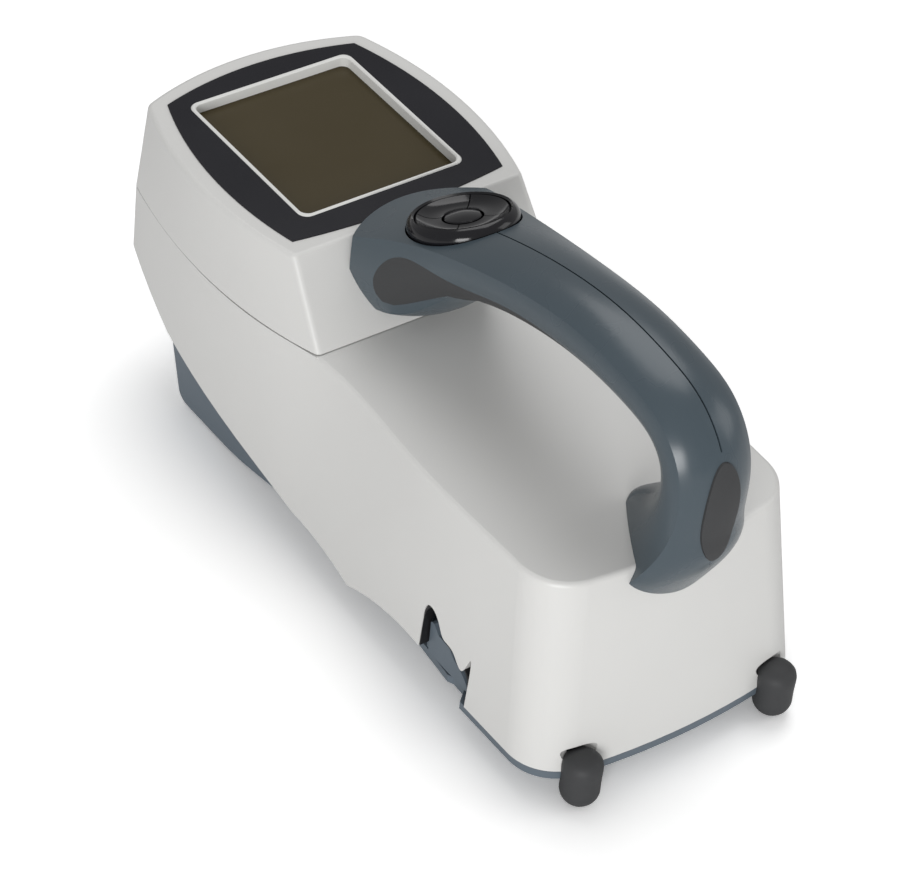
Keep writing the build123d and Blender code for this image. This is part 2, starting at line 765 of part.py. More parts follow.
with BuildPart() as half_handle:
    add(handle_form.part)
    add(pod_plan.part, mode=Mode.INTERSECT)
    add(whole_case.part, mode=Mode.SUBTRACT)
    add(head_block.part, mode=Mode.SUBTRACT)
    add(bezel_block.part, mode=Mode.SUBTRACT)
    add(half_grip.part, mode=Mode.SUBTRACT)
    add(handle_hollow.part, mode=Mode.SUBTRACT)
    add(crown_groove.part, mode=Mode.SUBTRACT)
    add(front_wall_holes.part, mode=Mode.SUBTRACT)
    with BuildSketch(pad_plane.offset(-pad_sink)):
        Circle(pad_radius + pad_gap)
    extrude(amount=far / 4, mode=Mode.SUBTRACT)
    with BuildSketch(Plane.XZ.offset(-plug_back)):
        with Locations((0, plug_middle)):
            Ellipse(plug_half_width + shaft_fit, (plug_top - plug_bottom) / 2 + shaft_fit)
    extrude(amount=20, mode=Mode.SUBTRACT)
    with BuildSketch(Plane.XY.offset(deck_height - wall)):
        with Locations(*handle_foot_screws):
            Circle(screw_radius)
    extrude(amount=wall + foot_screw_depth, mode=Mode.SUBTRACT)

with BuildPart() as handle_right:
    add(half_handle.solids().sort_by(SortBy.VOLUME)[-1])
finish_part(handle_right, "handle_right")

with BuildPart() as handle_left:
    mirror(handle_right.part, about=Plane.YZ)
finish_part(handle_left, "handle_left")

with BuildPart() as half_plug:
    with Locations((0, -plug_proud, 0)):
        add(handle_form.part)
    with BuildSketch(Plane.XZ.offset(-plug_back)):
        with Locations((0, plug_middle)):
            Ellipse(plug_half_width, (plug_top - plug_bottom) / 2)
    extrude(amount=20, mode=Mode.INTERSECT)

with BuildPart() as handle_end_plug:
    add(half_plug.part)
    mirror(half_plug.part, about=Plane.YZ)
finish_part(handle_end_plug, "handle_end_plug")

# Navigation pad: r is measured from its axis, h along the axis
pad_section = Plane(origin=pad_plane.origin, x_dir=pad_plane.x_dir, z_dir=-pad_plane.y_dir)
pad_axis = Axis(pad_plane.origin, pad_plane.z_dir)
board_top = -pad_sink + 3.2
board_bottom = board_top - board
membrane_top = board_top + 0.8
key_bottom = -2.6
flange_height = 1.1
rim_inner = key_outer + running

with BuildPart() as keypad_housing:
    with BuildSketch(pad_section):
        with BuildLine():
            Polyline((10, -pad_sink), (pad_radius, -pad_sink), (pad_radius, pad_proud - 4.1))
            ThreePointArc((pad_radius, pad_proud - 4.1), (pad_radius - 0.7, pad_proud - 0.9),
                          (rim_inner + 0.6, pad_proud))
            Polyline([(rim_inner + 0.6, pad_proud), (rim_inner, pad_proud - 0.5),
                      (rim_inner, key_bottom + flange_height + running),
                      (rim_inner + 0.7, key_bottom + flange_height + running),
                      (rim_inner + 0.7, board_bottom), (10, board_bottom), (10, -pad_sink)])
        make_face()
    revolve(axis=pad_axis)
finish_part(keypad_housing, "keypad_housing")

with BuildPart() as key_ring:
    with BuildSketch(pad_section):
        with BuildLine():
            ThreePointArc((key_inner, 0.2), (key_inner + 4.4, 0.4), (key_outer - 0.6, pad_proud - 0.3))
            Polyline((key_outer - 0.6, pad_proud - 0.3), (key_outer, pad_proud - 0.9),
                     (key_outer, key_bottom + flange_height), (key_outer + 0.5, key_bottom + flange_height),
                     (key_outer + 0.5, key_bottom), (key_inner, key_bottom), (key_inner, 0.2))
        make_face()
    revolve(axis=pad_axis)

key_turns = {"key_up": 0, "key_left": 90, "key_down": 180, "key_right": 270}
wedge_start = key_gap / math.sqrt(2)
for name, turn in key_turns.items():
    with BuildPart() as key:
        add(key_ring.part)
        with BuildSketch(pad_plane.offset(-pad_sink)):
            Polygon((0, wedge_start), (30, 30 + wedge_start), (-30, 30 + wedge_start), rotation=turn,
                    align=None)
        extrude(amount=2 * pad_sink, mode=Mode.INTERSECT)
    finish_part(key, name)

with BuildPart() as key_enter:
    with BuildSketch(pad_section):
        with BuildLine():
            ThreePointArc((0, 1.3), (enter_radius / 2, 1.1), (enter_radius - 0.3, 0.5))
            Polyline((enter_radius - 0.3, 0.5), (enter_radius, 0.2), (enter_radius, key_bottom),
                     (0, key_bottom), (0, 1.3))
        make_face()
    revolve(axis=pad_axis)
finish_part(key_enter, "key_enter")

key_spots = [(0, 0)] + [(10.3 * math.cos(turn), 10.3 * math.sin(turn))
                        for turn in (0, math.pi / 2, math.pi, 3 * math.pi / 2)]
with BuildPart() as keypad_membrane:
    with BuildSketch(pad_plane.offset(board_top)):
        Circle(key_outer)
    extrude(amount=membrane_top - board_top)
    with BuildSketch(pad_plane.offset(membrane_top)):
        with Locations(*key_spots):
            Circle(2.6)
    extrude(amount=0.3)
finish_part(keypad_membrane, "keypad_membrane")

with BuildPart() as keypad_board:
    with BuildSketch(pad_plane.offset(board_bottom)):
        Circle(key_outer)
    extrude(amount=board)
finish_part(keypad_board, "keypad_board")

cable_start = pad_plane.origin + pad_plane.z_dir * (board_bottom - 0.2)
cable_bend = pad_plane.origin + pad_plane.z_dir * (board_bottom - 3)
slot_outer = front_wall.origin + front_wall.z_dir * 8
slot_inner = front_wall.origin - front_wall.z_dir * 8
with BuildPart() as keypad_cable:
    with BuildSketch(Plane.YZ):
        with BuildLine() as cable_path:
            Polyline((cable_start.Y, cable_start.Z), (cable_bend.Y, cable_bend.Z),
                     (slot_outer.Y, slot_outer.Z), (slot_inner.Y, slot_inner.Z),
                     (slot_inner.Y + 8, slot_inner.Z - 1))
        trace(line_width=0.4)
    extrude(amount=cable_width / 2, both=True)
finish_part(keypad_cable, "keypad_cable")

# Base: slab under the case and tray with the rear bulge
tab_slot = (-81.0, -56.3)
tab_slot_middle = (tab_slot[0] + tab_slot[1]) / 2
tab_slot_x = tab_pivot_x - 1.2
tab_slot_width = 4.4
ear_length = 2.4
screw_seat = slab_bottom + 2.3
door_low = 2.5
door_high = door_low + door_height
door_axis_y = door_low + door_thickness / 2
rest_pads = [(side * 27.0, bulge_flat + 1.5) for side in (-1, 1)]
door_axis_point = door_plane.origin + door_plane.y_dir * door_axis_y + door_plane.z_dir * (door_thickness / 2)
door_axis = (door_axis_point.Y, door_axis_point.Z)

# The cells end a little short of the closed door's contacts, and the contact wall follows them
contact_y = 11.8
contact_height = 1.2
cell_nub = 0.7
cell_end = bulge_wall_y + ((cell_z - bulge_wall_z) * math.sin(lean_angle) - door_thickness
                           - contact_height - 1.6) / math.cos(lean_angle)
cell_front = cell_end - cell_length
contact_wall_rear = cell_front - 1.2
contact_wall_front = contact_wall_rear - 2.4

# Right side of the slab's plan from the nose to the tray, stepped in beside the release tab
slab_steps = [(51.0, -79.0), (45.7, -74.5), (45.5, -69.0), (46.5, -67.0), (44.9, -50.0), (44.9, 5.0)]

with BuildPart() as base_shell:
    extrude(low_plan(slab_bottom, base_inset), amount=slab_top - slab_bottom)
    with BuildSketch(Plane.XY) as outside:
        with BuildLine():
            Polyline([*slab_steps, (70, 5), (70, -79), slab_steps[0]])
        make_face()
        mirror(outside.sketch, about=Plane.YZ)
    extrude(amount=far, mode=Mode.SUBTRACT)
    fillet(base_shell.faces().sort_by(Axis.Z)[0].edges(), radius=slab_edge)
    with BuildSketch(Plane.XY):
        with Locations((0, tip_y + 3 + far / 2)):
            Rectangle(far, far)
    extrude(amount=far, mode=Mode.SUBTRACT)
    add(tray_block.part)
    add(tray_cavity.part, mode=Mode.SUBTRACT)
    with BuildSketch(Plane.XY.offset(slab_top)):
        with Locations((0, tip_y)):
            Rectangle(2 * (base_half_width - wall), 4 * wall)
    extrude(amount=far, mode=Mode.SUBTRACT)
    with BuildSketch(Plane.XY.offset(slab_bottom)):
        with Locations((0, port_y)):
            Circle(port_neck / 2 + running)
        with Locations(*corners):
            Circle(screw_radius)
        with Locations((tab_slot_x, tab_slot_middle), (-tab_slot_x, tab_slot_middle)):
            Rectangle(tab_slot_width, tab_slot[1] - tab_slot[0])
    extrude(amount=slab_top - slab_bottom, mode=Mode.SUBTRACT)
    with BuildSketch(Plane.XY.offset(slab_bottom)):
        with Locations(*corners):
            Circle(screw_head + running)
    extrude(amount=screw_seat - slab_bottom, mode=Mode.SUBTRACT)
    with Locations(*foot_places):
        add(foot_seat.part, mode=Mode.SUBTRACT)
    with BuildSketch(Plane.XY.offset(slab_bottom + slab_edge)):
        with Locations(*[(side * tab_pivot_x, y) for side in (-1, 1)
                         for y in (tab_slot[0] - ear_length / 2, tab_slot[1] + ear_length / 2)]):
            Rectangle(3.8, ear_length)
    extrude(amount=tab_pivot_z + 3 - slab_bottom - slab_edge)
    with BuildSketch(Plane.XZ.offset(-tab_slot[1] - 2 * ear_length)):
        with Locations((tab_pivot_x, tab_pivot_z), (-tab_pivot_x, tab_pivot_z)):
            Circle(tab_pin / 2 + shaft_fit)
    extrude(amount=tab_slot[1] - tab_slot[0] + 4 * ear_length, mode=Mode.SUBTRACT)
    with BuildSketch(Plane.XY.offset(base_floor + wall + 0.2)):
        with Locations((-20, 72), (20, 72)):
            Rectangle(2, 24)
    extrude(amount=tray_bottom - base_floor - wall - 0.2)
    with BuildSketch(Plane.XY.offset(9)):
        with Locations((0, (contact_wall_front + contact_wall_rear) / 2)):
            Rectangle(62, contact_wall_rear - contact_wall_front)
    extrude(amount=17)
    with BuildSketch(door_plane.offset(-1)):
        with Locations((0, (door_low + door_high) / 2)):
            Rectangle(2 * (door_half_width + running), door_height + 2 * running)
    extrude(amount=2 * wall, mode=Mode.SUBTRACT)
    with BuildSketch(door_plane.offset(-1)):
        with Locations((0, door_high)):
            Rectangle(scoop_width, 2 * scoop_height)
    extrude(amount=1 + scoop_depth, mode=Mode.SUBTRACT)
    with BuildSketch(Plane.YZ.offset(-door_half_width - wall)):
        with Locations(door_axis):
            Circle(door_pin / 2)
    extrude(amount=2 * (door_half_width + wall), mode=Mode.SUBTRACT)
    with BuildSketch(Plane.XY):
        with Locations(*rest_pads):
            Rectangle(pad_width, pad_length)
    extrude(amount=rubber_pad, mode=Mode.SUBTRACT)
finish_part(base_shell, "base_shell")

with BuildPart() as rear_pads:
    with BuildSketch(Plane.XY):
        with Locations(*rest_pads):
            Rectangle(pad_width, pad_length)
    extrude(amount=rubber_pad)
    fillet(rear_pads.faces().group_by(Axis.Z)[0].edges(), radius=0.4)
finish_part(rear_pads, "rear_pads")

for name, place in {"bumper_foot_left": foot_places[0], "bumper_foot_right": foot_places[1]}.items():
    with BuildPart() as foot:
        with Locations(place):
            add(foot_form.part)
    finish_part(foot, name)

# Measuring port, clipped under the slab
with BuildPart() as port_plate:
    with BuildSketch(Plane.XY.offset(slab_bottom - port_plate_thickness)):
        with Locations((0, port_y)):
            RectangleRounded(port_plate_width, port_plate_length, 8)
    extrude(amount=port_plate_thickness)
    with BuildSketch(Plane.XY.offset(port_clearance)):
        with Locations((0, port_y)):
            Circle(port_ring / 2)
    extrude(amount=slab_bottom - port_clearance)
    fillet(port_plate.faces().sort_by(Axis.Z)[0].edges(), radius=1)
    with BuildSketch(Plane.XY.offset(slab_bottom)):
        with Locations((0, port_y)):
            Circle(port_neck / 2)
    extrude(amount=6)
    with BuildSketch(Plane.XY):
        with Locations((0, port_y)):
            Circle(port_bore / 2)
    extrude(amount=far, mode=Mode.SUBTRACT)
finish_part(port_plate, "port_plate")

# Release tabs: the plate seen in the notch, a web with the pins, and an arm hooked under the port
hook_reach = port_plate_width / 2 - 0.8
hook_bottom = 3.8
hook_thickness = 1.1
tab_back = tab_face_x - tab_thickness
tab_ends = (-77.4, -57.2)
arm_x = (tab_pivot_x - 2.7, tab_pivot_x - 0.4)
arm_y = -68.5
arm_length = 13.0
web_height = 3.2
for name, side in {"release_tab_left": -1, "release_tab_right": 1}.items():
    with BuildPart() as tab:
        with BuildSketch(Plane.YZ.offset(side * tab_back)) as tab_face:
            with BuildLine():
                Polyline([(tab_ends[1], 12.4), (tab_ends[1], 25.0), (tab_ends[1] - 1.6, 25.0),
                          (-61.5, 22.4), (-67.0, 22.0), (-69.5, 19.5), (-74.0, 17.3),
                          (-76.8, 14.8), (tab_ends[0], 12.4)], close=True)
            make_face()
            fillet(tab_face.vertices().group_by(Axis.Z)[-1], radius=0.7)
        extrude(amount=side * tab_thickness)
        with BuildSketch(Plane.XY.offset(tab_pivot_z - web_height / 2)):
            with Locations((side * (arm_x[0] + tab_back) / 2, (tab_ends[0] + tab_ends[1]) / 2)):
                Rectangle(tab_back - arm_x[0], tab_ends[1] - tab_ends[0])
        extrude(amount=web_height)
        with BuildSketch(Plane.XY.offset(hook_bottom)):
            with Locations((side * (arm_x[0] + arm_x[1]) / 2, arm_y)):
                Rectangle(arm_x[1] - arm_x[0], arm_length)
        extrude(amount=tab_pivot_z - hook_bottom)
        with BuildSketch(Plane.XY.offset(hook_bottom)):
            with Locations((side * (hook_reach + arm_x[1]) / 2, arm_y)):
                Rectangle(arm_x[1] - hook_reach, arm_length)
        extrude(amount=hook_thickness)
        with BuildSketch(Plane.XZ.offset(-tab_slot[1] - 2.2)):
            with Locations((side * tab_pivot_x, tab_pivot_z)):
                Circle(tab_pin / 2)
        extrude(amount=tab_slot[1] - tab_slot[0] + 4.4)
    finish_part(tab, name)

# Measuring head above the port
with BuildPart() as optics_block:
    with BuildSketch(Plane.XZ):
        with BuildLine():
            Polyline([(17.5, slab_top), (optics_radius, slab_top), (optics_radius, 42), (13, 42),
                      (13, 48), (9.5, 48), (9.5, 38), (24, 38), (24, 24), (17.5, 16)], close=True)
        make_face()
    revolve(axis=Axis.Z)
optics_place = Location((0, port_y, 0))
with BuildPart() as optics_here:
    with Locations(optics_place):
        add(optics_block.part)
finish_part(optics_here, "optics_block")

with BuildPart() as illumination_ring:
    with BuildSketch(Plane.XZ):
        with BuildLine():
            Polyline([(12, 38), (23.9, 38), (23.9, 30), (21, 30), (12, 37)], close=True)
        make_face()
    revolve(axis=Axis.Z)
with BuildPart() as ring_here:
    with Locations(optics_place):
        add(illumination_ring.part)
finish_part(ring_here, "illumination_ring")

with BuildPart() as viewing_lens:
    with BuildSketch(Plane.XY.offset(39.6)):
        Circle(9.4)
    extrude(amount=4)
    fillet(viewing_lens.edges(), radius=1.6)
with BuildPart() as lens_here:
    with Locations(optics_place):
        add(viewing_lens.part)
finish_part(lens_here, "viewing_lens")

with BuildPart() as optics_cap:
    with BuildSketch(Plane.XY.offset(48)):
        with Locations((0, port_y)):
            Circle(13)
    extrude(amount=2)
    with BuildSketch(Plane.XY.offset(50)):
        with Locations((0, port_y)):
            Circle(2.6)
    extrude(amount=2)
finish_part(optics_cap, "optics_cap")

with BuildPart() as flash_lamp:
    with BuildSketch(Plane.XY.offset(slab_top)):
        with Locations((0, -46)):
            Rectangle(34, 10)
    extrude(amount=20)
    with BuildSketch(Plane.YZ.offset(-14)):
        with Locations((-46, slab_top + 23)):
            Circle(4)
    extrude(amount=28)
finish_part(flash_lamp, "flash_lamp")

spectrometer_top = 42.0
with BuildPart() as spectrometer_case:
    with BuildSketch(Plane.XY.offset(slab_top)):
        with Locations((0, -12)):
            RectangleRounded(56, 52, 3)
    extrude(amount=spectrometer_top - slab_top - 3)
    with BuildSketch(Plane.XY.offset(spectrometer_top - 3)):
        with Locations((0, -12)):
            RectangleRounded(59, 55, 4)
    extrude(amount=3)
finish_part(spectrometer_case, "spectrometer_case")

with BuildPart() as fibre_link:
    with BuildLine() as fibre_path:
        Spline((0, port_y, 52), (0, port_y + 12, 56.4), (0, -50, 56.8), (0, -32, 52),
               (0, -26, spectrometer_top), tangents=((0, 0, 1), (0, 0, -1)))
    with BuildSketch(Plane.XY.offset(52)):
        with Locations((0, port_y)):
            Circle(1.2)
    sweep()
finish_part(fibre_link, "fibre_link")

board_length = 110.0
board_middle = -43.0
with BuildPart() as main_board:
    with BuildSketch(Plane.XY.offset(boards_z)):
        with Locations((0, board_middle)):
            Rectangle(62, board_length)
        with Locations(*board_posts):
            Circle(small_screw, mode=Mode.SUBTRACT)
    extrude(amount=board)
    with BuildSketch(Plane.XY.offset(boards_z + board)):
        with Locations((-8, -20), (12, -52)):
            Rectangle(16, 16)
        with Locations((10, -20), (-12, -66), (-14, -48)):
            Rectangle(8, 5)
    extrude(amount=1.6)
    with BuildSketch(Plane.XY.offset(boards_z + board)):
        with Locations((0, 6), (0, -90)):
            Rectangle(24, 5)
    extrude(amount=5)
finish_part(main_board, "main_board")

# Batteries
cell_xs = [(i - (cell_count - 1) / 2) * cell_pitch for i in range(cell_count)]
with BuildPart() as battery_cells:
    with BuildSketch(Plane.XZ.offset(-cell_end + cell_nub)):
        with Locations(*[(x, cell_z) for x in cell_xs]):
            Circle(cell_diameter / 2)
    extrude(amount=cell_length - cell_nub)
    with BuildSketch(Plane.XZ.offset(-cell_end)):
        with Locations(*[(x, cell_z) for x in cell_xs]):
            Circle(2.75)
    extrude(amount=2 * cell_nub)
finish_part(battery_cells, "battery_cells")

tray_front = cell_front + 9.0
with BuildPart() as battery_tray:
    with BuildSketch(Plane.XY.offset(tray_bottom)):
        with Locations((0, (tray_front + cell_end - 1.5) / 2)):
            Rectangle(cell_count * cell_pitch + 3, cell_end - 1.5 - tray_front)
    extrude(amount=cell_z - tray_bottom)
    with BuildSketch(Plane.XZ.offset(-far)):
        with Locations(*[(x, cell_z) for x in cell_xs]):
            Circle(cell_diameter / 2 + shaft_fit)
    extrude(amount=far, mode=Mode.SUBTRACT)
finish_part(battery_tray, "battery_tray")

with BuildPart() as battery_contacts:
    with BuildSketch(Plane.XZ.offset(-contact_wall_rear - 0.4)):
        with Locations((0, cell_z)):
            Rectangle(cell_count * cell_pitch - 4, 9)
    extrude(amount=0.4)
    with BuildSketch(Plane.XZ.offset(-cell_front)):
        with Locations(*[(x, cell_z) for x in cell_xs]):
            Circle(4)
    extrude(amount=cell_front - contact_wall_rear)
finish_part(battery_contacts, "battery_contacts")

# Battery door, drawn in the plane of the leaning wall: local y runs up, local z inward
with BuildPart() as battery_door:
    with BuildSketch(door_plane):
        with Locations((0, (door_axis_y + door_high) / 2)):
            Rectangle(2 * door_half_width, door_high - door_axis_y)
    extrude(amount=door_thickness)
    with BuildSketch(Plane.YZ.offset(-door_half_width)):
        with Locations(door_axis):
            Circle(door_thickness / 2)
    extrude(amount=2 * door_half_width)
    with BuildSketch(door_plane.offset(-0.4)):
        with Locations((0, door_high - 6), (0, door_high - 4), (0, door_high - 2)):
            Rectangle(scoop_width, 0.8)
    extrude(amount=0.8)
    with BuildSketch(Plane.YZ.offset(-door_half_width - 1)):
        with Locations(door_axis):
            Circle(door_pin / 2 + shaft_fit)
    extrude(amount=2 * door_half_width + 2, mode=Mode.SUBTRACT)
finish_part(battery_door, "battery_door")

with BuildPart() as door_contacts:
    with BuildSketch(door_plane.offset(door_thickness)):
        with Locations((0, contact_y)):
            Rectangle(60, 6)
    extrude(amount=0.5)
    with BuildSketch(door_plane.offset(door_thickness)):
        with Locations(*[(x, contact_y) for x in cell_xs]):
            Circle(2.8)
    extrude(amount=contact_height)
finish_part(door_contacts, "door_contacts")

with BuildPart() as door_hinge_pin:
    with BuildSketch(Plane.YZ.offset(-door_half_width - wall)):
        with Locations(door_axis):
            Circle(door_pin / 2)
    extrude(amount=2 * (door_half_width + wall))
finish_part(door_hinge_pin, "door_hinge_pin")

# Sockets
socket_length = socket_face_y - socket_back - 0.3
with BuildPart() as usb_socket:
    with BuildSketch(Plane.XZ.offset(-socket_back - socket_length)):
        with Locations((usb_x, socket_z)):
            RectangleRounded(usb_width - 0.1, usb_height - 0.1, 1.2)
    extrude(amount=socket_length)
    with BuildSketch(Plane.XZ.offset(-socket_back - socket_length)):
        with Locations((usb_x, socket_z)):
            RectangleRounded(usb_width - 0.9, usb_height - 0.9, 1.0)
            Rectangle(usb_width - 2.8, 0.7, mode=Mode.SUBTRACT)
    extrude(amount=socket_length - 1.2, mode=Mode.SUBTRACT)
finish_part(usb_socket, "usb_socket")

with BuildPart() as power_jack:
    with BuildSketch(Plane.XZ.offset(-socket_back - socket_length)):
        with Locations((jack_x, socket_z)):
            Circle(jack_radius)
    extrude(amount=socket_length)
    with BuildSketch(Plane.XZ.offset(-socket_back - socket_length)):
        with Locations((jack_x, socket_z)):
            Circle(2.75)
            Circle(1.0, mode=Mode.SUBTRACT)
    extrude(amount=socket_length - 1.2, mode=Mode.SUBTRACT)
finish_part(power_jack, "power_jack")


# Screws: each group is one piece file, as the screws of a group are alike
def upright_screws(builder_name, places, seat, head_radius, head_height, shaft, length):
    with BuildPart() as screws:
        with BuildSketch(Plane.XY.offset(seat - head_height)):
            with Locations(*places):
                Circle(head_radius)
                Rectangle(head_radius, 0.6, mode=Mode.SUBTRACT)
        extrude(amount=0.6)
        with BuildSketch(Plane.XY.offset(seat - head_height + 0.6)):
            with Locations(*places):
                Circle(head_radius)
        extrude(amount=head_height - 0.6)
        with BuildSketch(Plane.XY.offset(seat)):
            with Locations(*places):
                Circle(shaft)
        extrude(amount=length)
    finish_part(screws, builder_name)


upright_screws("base_screws", corners, screw_seat, screw_head, 1.8, screw_radius, 12)
upright_screws("head_screws", head_posts, shelf_z, screw_head, 1.8, screw_radius, 12)
upright_screws("board_screws", board_posts, boards_z, 2.2, 1.4, small_screw, board_screw_length)
upright_screws("handle_foot_screws", handle_foot_screws, deck_height - wall, screw_head, 1.8,
               screw_radius, wall + foot_screw_depth - 0.5)

with BuildPart() as handle_head_screws:
    with BuildSketch(front_wall.offset(-wall - 1.4)):
        with Locations((-pod_screw_x, 0), (pod_screw_x, 0)):
            Circle(2.2)
            Rectangle(2.2, 0.6, mode=Mode.SUBTRACT)
    extrude(amount=1.4)
    with BuildSketch(front_wall.offset(-wall)):
        with Locations((-pod_screw_x, 0), (pod_screw_x, 0)):
            Circle(small_screw)
    extrude(amount=wall + pod_screw_depth - 0.5)
finish_part(handle_head_screws, "handle_head_screws")
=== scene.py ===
import json
import math

import bmesh
import bpy
from mathutils import Matrix, Vector
from mathutils.bvhtree import BVHTree


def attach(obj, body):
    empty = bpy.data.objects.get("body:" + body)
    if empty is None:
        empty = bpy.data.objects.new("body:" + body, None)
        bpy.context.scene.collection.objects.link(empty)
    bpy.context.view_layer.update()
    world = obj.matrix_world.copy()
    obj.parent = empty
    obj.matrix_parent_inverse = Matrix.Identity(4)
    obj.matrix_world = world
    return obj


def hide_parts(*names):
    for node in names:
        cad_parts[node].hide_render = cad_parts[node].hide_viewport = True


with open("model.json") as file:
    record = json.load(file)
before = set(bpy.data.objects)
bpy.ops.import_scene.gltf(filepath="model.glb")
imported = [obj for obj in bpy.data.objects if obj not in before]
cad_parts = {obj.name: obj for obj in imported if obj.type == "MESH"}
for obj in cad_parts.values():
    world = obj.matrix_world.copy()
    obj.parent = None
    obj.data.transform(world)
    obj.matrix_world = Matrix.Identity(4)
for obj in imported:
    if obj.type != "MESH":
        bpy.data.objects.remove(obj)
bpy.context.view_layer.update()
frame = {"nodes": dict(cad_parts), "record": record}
nodes = frame["nodes"]
scene = bpy.context.scene
scene.view_settings.view_transform = "Standard"

# Camera at the photograph's viewing angle: its place in metres and the axes of its view
camera_place = Vector((-0.51452, -0.63794, 0.74048))
camera_right = Vector((0.8164, -0.5722, 0.0781)).normalized()
camera_back = Vector((-0.4745, -0.5875, 0.6555)).normalized()
camera_up = camera_back.cross(camera_right).normalized()
camera_right = camera_up.cross(camera_back)
camera_lens_mm = 139.2
camera_sensor_mm = 36
camera_nearest = 0.05
camera_farthest = 50

camera = bpy.data.objects.new("camera", bpy.data.cameras.new("camera"))
scene.collection.objects.link(camera)
camera.matrix_world = Matrix((
    (camera_right.x, camera_up.x, camera_back.x, camera_place.x),
    (camera_right.y, camera_up.y, camera_back.y, camera_place.y),
    (camera_right.z, camera_up.z, camera_back.z, camera_place.z),
    (0, 0, 0, 1)))
camera.data.lens = camera_lens_mm
camera.data.sensor_width = camera_sensor_mm
camera.data.clip_start = camera_nearest
camera.data.clip_end = camera_farthest
scene.camera = camera


# Materials: the band in which most of a noise's values lie, and how far each look wanders
noise_low = 0.3
noise_high = 0.7
gloss_wander = 0.08
grain_strength = 0.6
metal_cloud = 0.01
metal_tone_wander = 0.05
metal_gloss_wander = 0.2


def new_material(name):
    material = bpy.data.materials.new(name)
    material.use_nodes = True
    tree = material.node_tree
    shader = tree.nodes["Principled BSDF"]
    place = tree.nodes.new("ShaderNodeTexCoord")
    return material, tree, shader, place


def noise(tree, place, size, detail=3.0):
    """Noise whose spots are about size metres across."""
    node = tree.nodes.new("ShaderNodeTexNoise")
    node.inputs["Scale"].default_value = 1 / size
    node.inputs["Detail"].default_value = detail
    tree.links.new(place.outputs["Object"], node.inputs["Vector"])
    return node


def ranged(tree, source, low, high):
    """A source between 0 and 1, spread between low and high."""
    node = tree.nodes.new("ShaderNodeMapRange")
    node.inputs["From Min"].default_value = noise_low
    node.inputs["From Max"].default_value = noise_high
    node.inputs["To Min"].default_value = low
    node.inputs["To Max"].default_value = high
    tree.links.new(source, node.inputs["Value"])
    return node.outputs["Result"]


def tinted(tree, source, color, spread):
    """A colour that wanders by spread around its own value."""
    mix = tree.nodes.new("ShaderNodeMix")
    mix.data_type = "RGBA"
    mix.inputs["A"].default_value = [c * (1 - spread) for c in color] + [1]
    mix.inputs["B"].default_value = [min(c * (1 + spread), 1) for c in color] + [1]
    tree.links.new(ranged(tree, source, 0, 1), mix.inputs["Factor"])
    return mix.outputs["Result"]


def moulded(name, color, roughness, grain=0.00035, grain_depth=0.000012, spread=0.03,
            cloud=0.03, specular=0.5, coat=0.0, coat_roughness=0.1):
    """Moulded plastic or rubber: a fine spark-eroded grain under slow changes of tone and gloss."""
    material, tree, shader, place = new_material(name)
    slow = noise(tree, place, cloud)
    fine = noise(tree, place, grain, detail=2.0)
    tree.links.new(tinted(tree, slow.outputs["Fac"], color, spread), shader.inputs["Base Color"])
    tree.links.new(ranged(tree, slow.outputs["Fac"], roughness * (1 - gloss_wander),
                          roughness * (1 + gloss_wander)),
                   shader.inputs["Roughness"])
    bump = tree.nodes.new("ShaderNodeBump")
    bump.inputs["Strength"].default_value = grain_strength
    bump.inputs["Distance"].default_value = grain_depth
    tree.links.new(fine.outputs["Fac"], bump.inputs["Height"])
    tree.links.new(bump.outputs["Normal"], shader.inputs["Normal"])
    shader.inputs["Specular IOR Level"].default_value = specular
    shader.inputs["Coat Weight"].default_value = coat
    shader.inputs["Coat Roughness"].default_value = coat_roughness
    return material


def metal(name, color, roughness, grain=0.0004):
    """Turned or pressed metal with a fine brushed grain."""
    material, tree, shader, place = new_material(name)
    fine = noise(tree, place, grain)
    slow = noise(tree, place, metal_cloud)
    tree.links.new(tinted(tree, slow.outputs["Fac"], color, metal_tone_wander),
                   shader.inputs["Base Color"])
    tree.links.new(ranged(tree, fine.outputs["Fac"], roughness * (1 - metal_gloss_wander),
                          roughness * (1 + metal_gloss_wander)),
                   shader.inputs["Roughness"])
    shader.inputs["Metallic"].default_value = 1.0
    return material


case_white = moulded("case_white", (0.66, 0.657, 0.642), 0.36, spread=0.012, cloud=0.05)
frame_white = moulded("frame_white", (0.74, 0.74, 0.72), 0.35, spread=0.01)
handle_paint = moulded("handle_blue_grey", (0.057, 0.078, 0.094), 0.27, spread=0.04, cloud=0.04)
base_paint = moulded("base_blue_grey", (0.112, 0.140, 0.168), 0.42, spread=0.04)
rubber = moulded("rubber_dark", (0.046, 0.047, 0.049), 0.6, grain=0.0006, grain_depth=0.00003,
                 specular=0.3)
gloss_black = moulded("key_black", (0.008, 0.008, 0.010), 0.14, grain_depth=0.000002, specular=0.4)
bezel_black = moulded("bezel_black", (0.008, 0.008, 0.012), 0.24, grain_depth=0.000001,
                      specular=0.22)
lcd_dark = moulded("lcd_dark", (0.050, 0.037, 0.013), 0.24, grain_depth=0.000001, spread=0.02,
                   specular=0.25)
board_green = moulded("board_green", (0.02, 0.12, 0.06), 0.3)
inner_black = moulded("inner_black", (0.012, 0.012, 0.013), 0.4, specular=0.3)
film = moulded("film_cable", (0.30, 0.14, 0.03), 0.25)
glass = moulded("lens_glass", (0.55, 0.62, 0.62), 0.05, grain_depth=0.0)
steel = metal("steel_part", (0.55, 0.54, 0.52), 0.3)
aluminium = metal("aluminium_part", (0.62, 0.62, 0.63), 0.38)
wrap = moulded("cell_wrap", (0.45, 0.38, 0.06), 0.25, coat=0.4)

